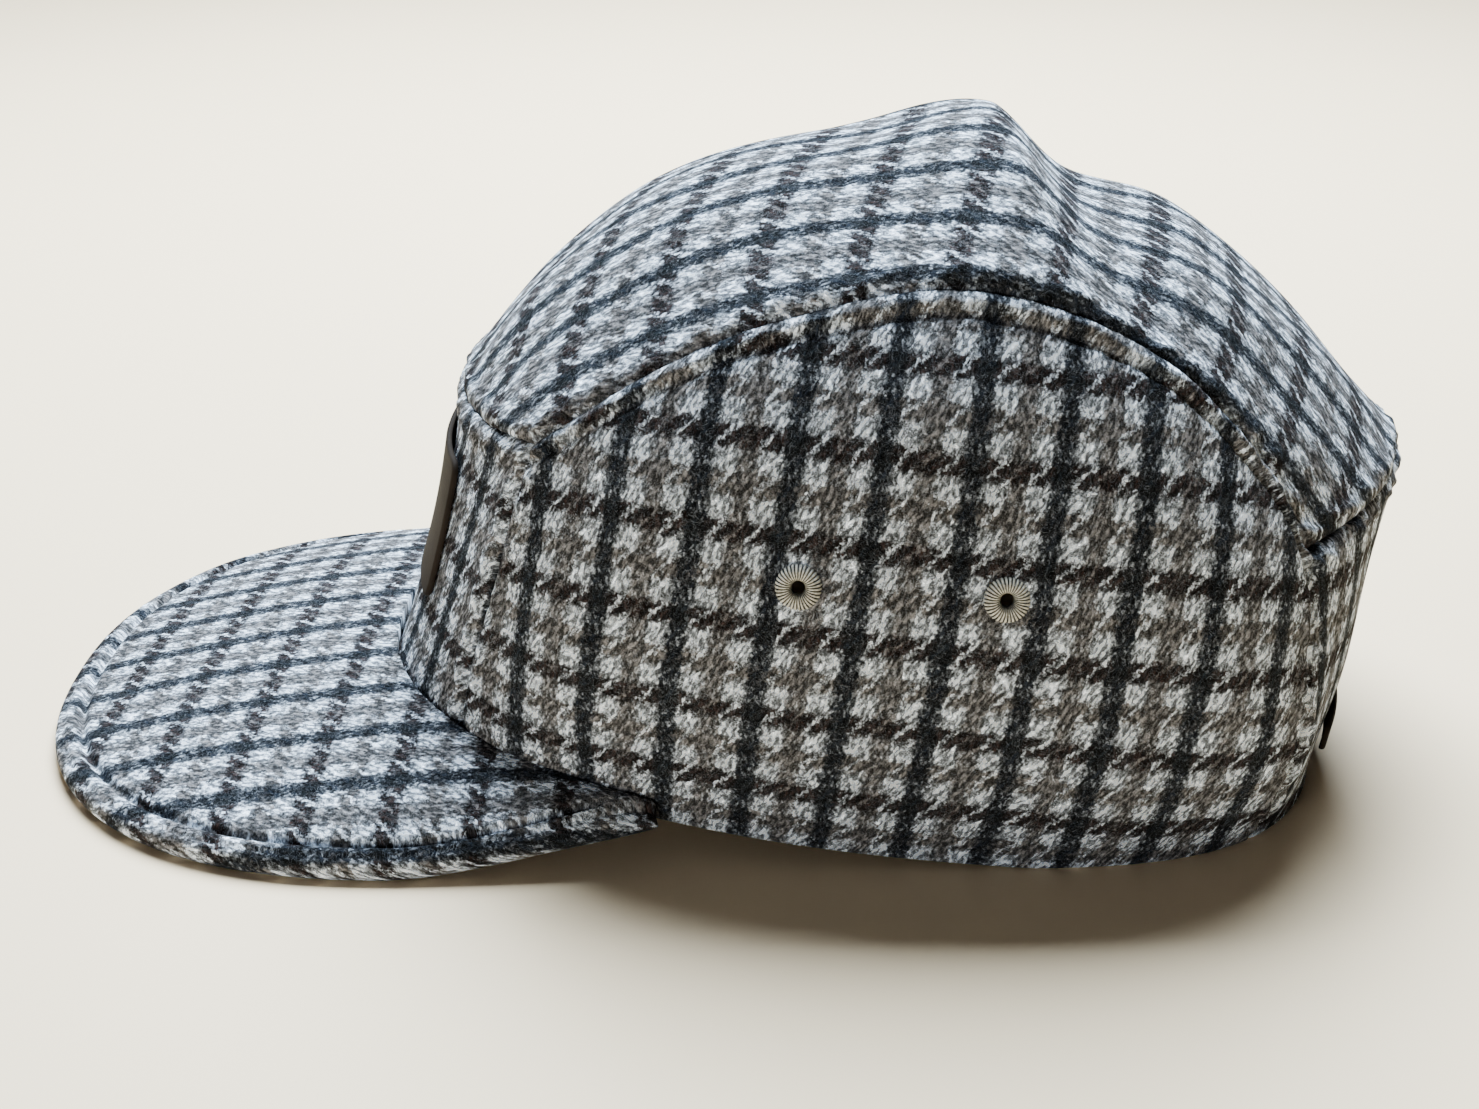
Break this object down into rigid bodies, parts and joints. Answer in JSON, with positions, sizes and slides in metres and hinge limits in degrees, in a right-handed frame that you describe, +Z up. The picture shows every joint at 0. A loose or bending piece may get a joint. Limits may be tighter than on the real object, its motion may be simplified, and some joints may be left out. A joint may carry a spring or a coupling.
{
  "type": "camp cap",
  "caption": "Soft-crowned camp cap in brushed check wool with a short flat peak, a bare leather label, stitched eyelets and a strap across the arched gap at the back.",
  "frame": {"origin": "centre of the bounding box at its base, on the surface that the cap rests on", "axes": "+Z up, -Y the way the peak points, +X the wearer's left"},
  "size_m": [0.1532, 0.2764, 0.1253],
  "materials": {
    "check_wool": "brushed wool twill in a blue-black, brown, taupe and white check",
    "brown_leather": "smooth dark brown leather, bare",
    "eyelet_thread": "grey-beige embroidery thread",
    "dark_metal": "dark satin metal"
  },
  "bodies": {
    "root": {"front_panel": "check_wool", "top_panel": "check_wool", "back_panel": "check_wool", "side_panel_left": "check_wool", "side_panel_right": "check_wool", "peak": "check_wool", "front_label": "brown_leather", "rear_strap": "brown_leather", "strap_slide": "dark_metal", "eyelet_left_front": "eyelet_thread", "eyelet_left_back": "eyelet_thread", "eyelet_right_front": "eyelet_thread", "eyelet_right_back": "eyelet_thread"}
  },
  "joints": []
}
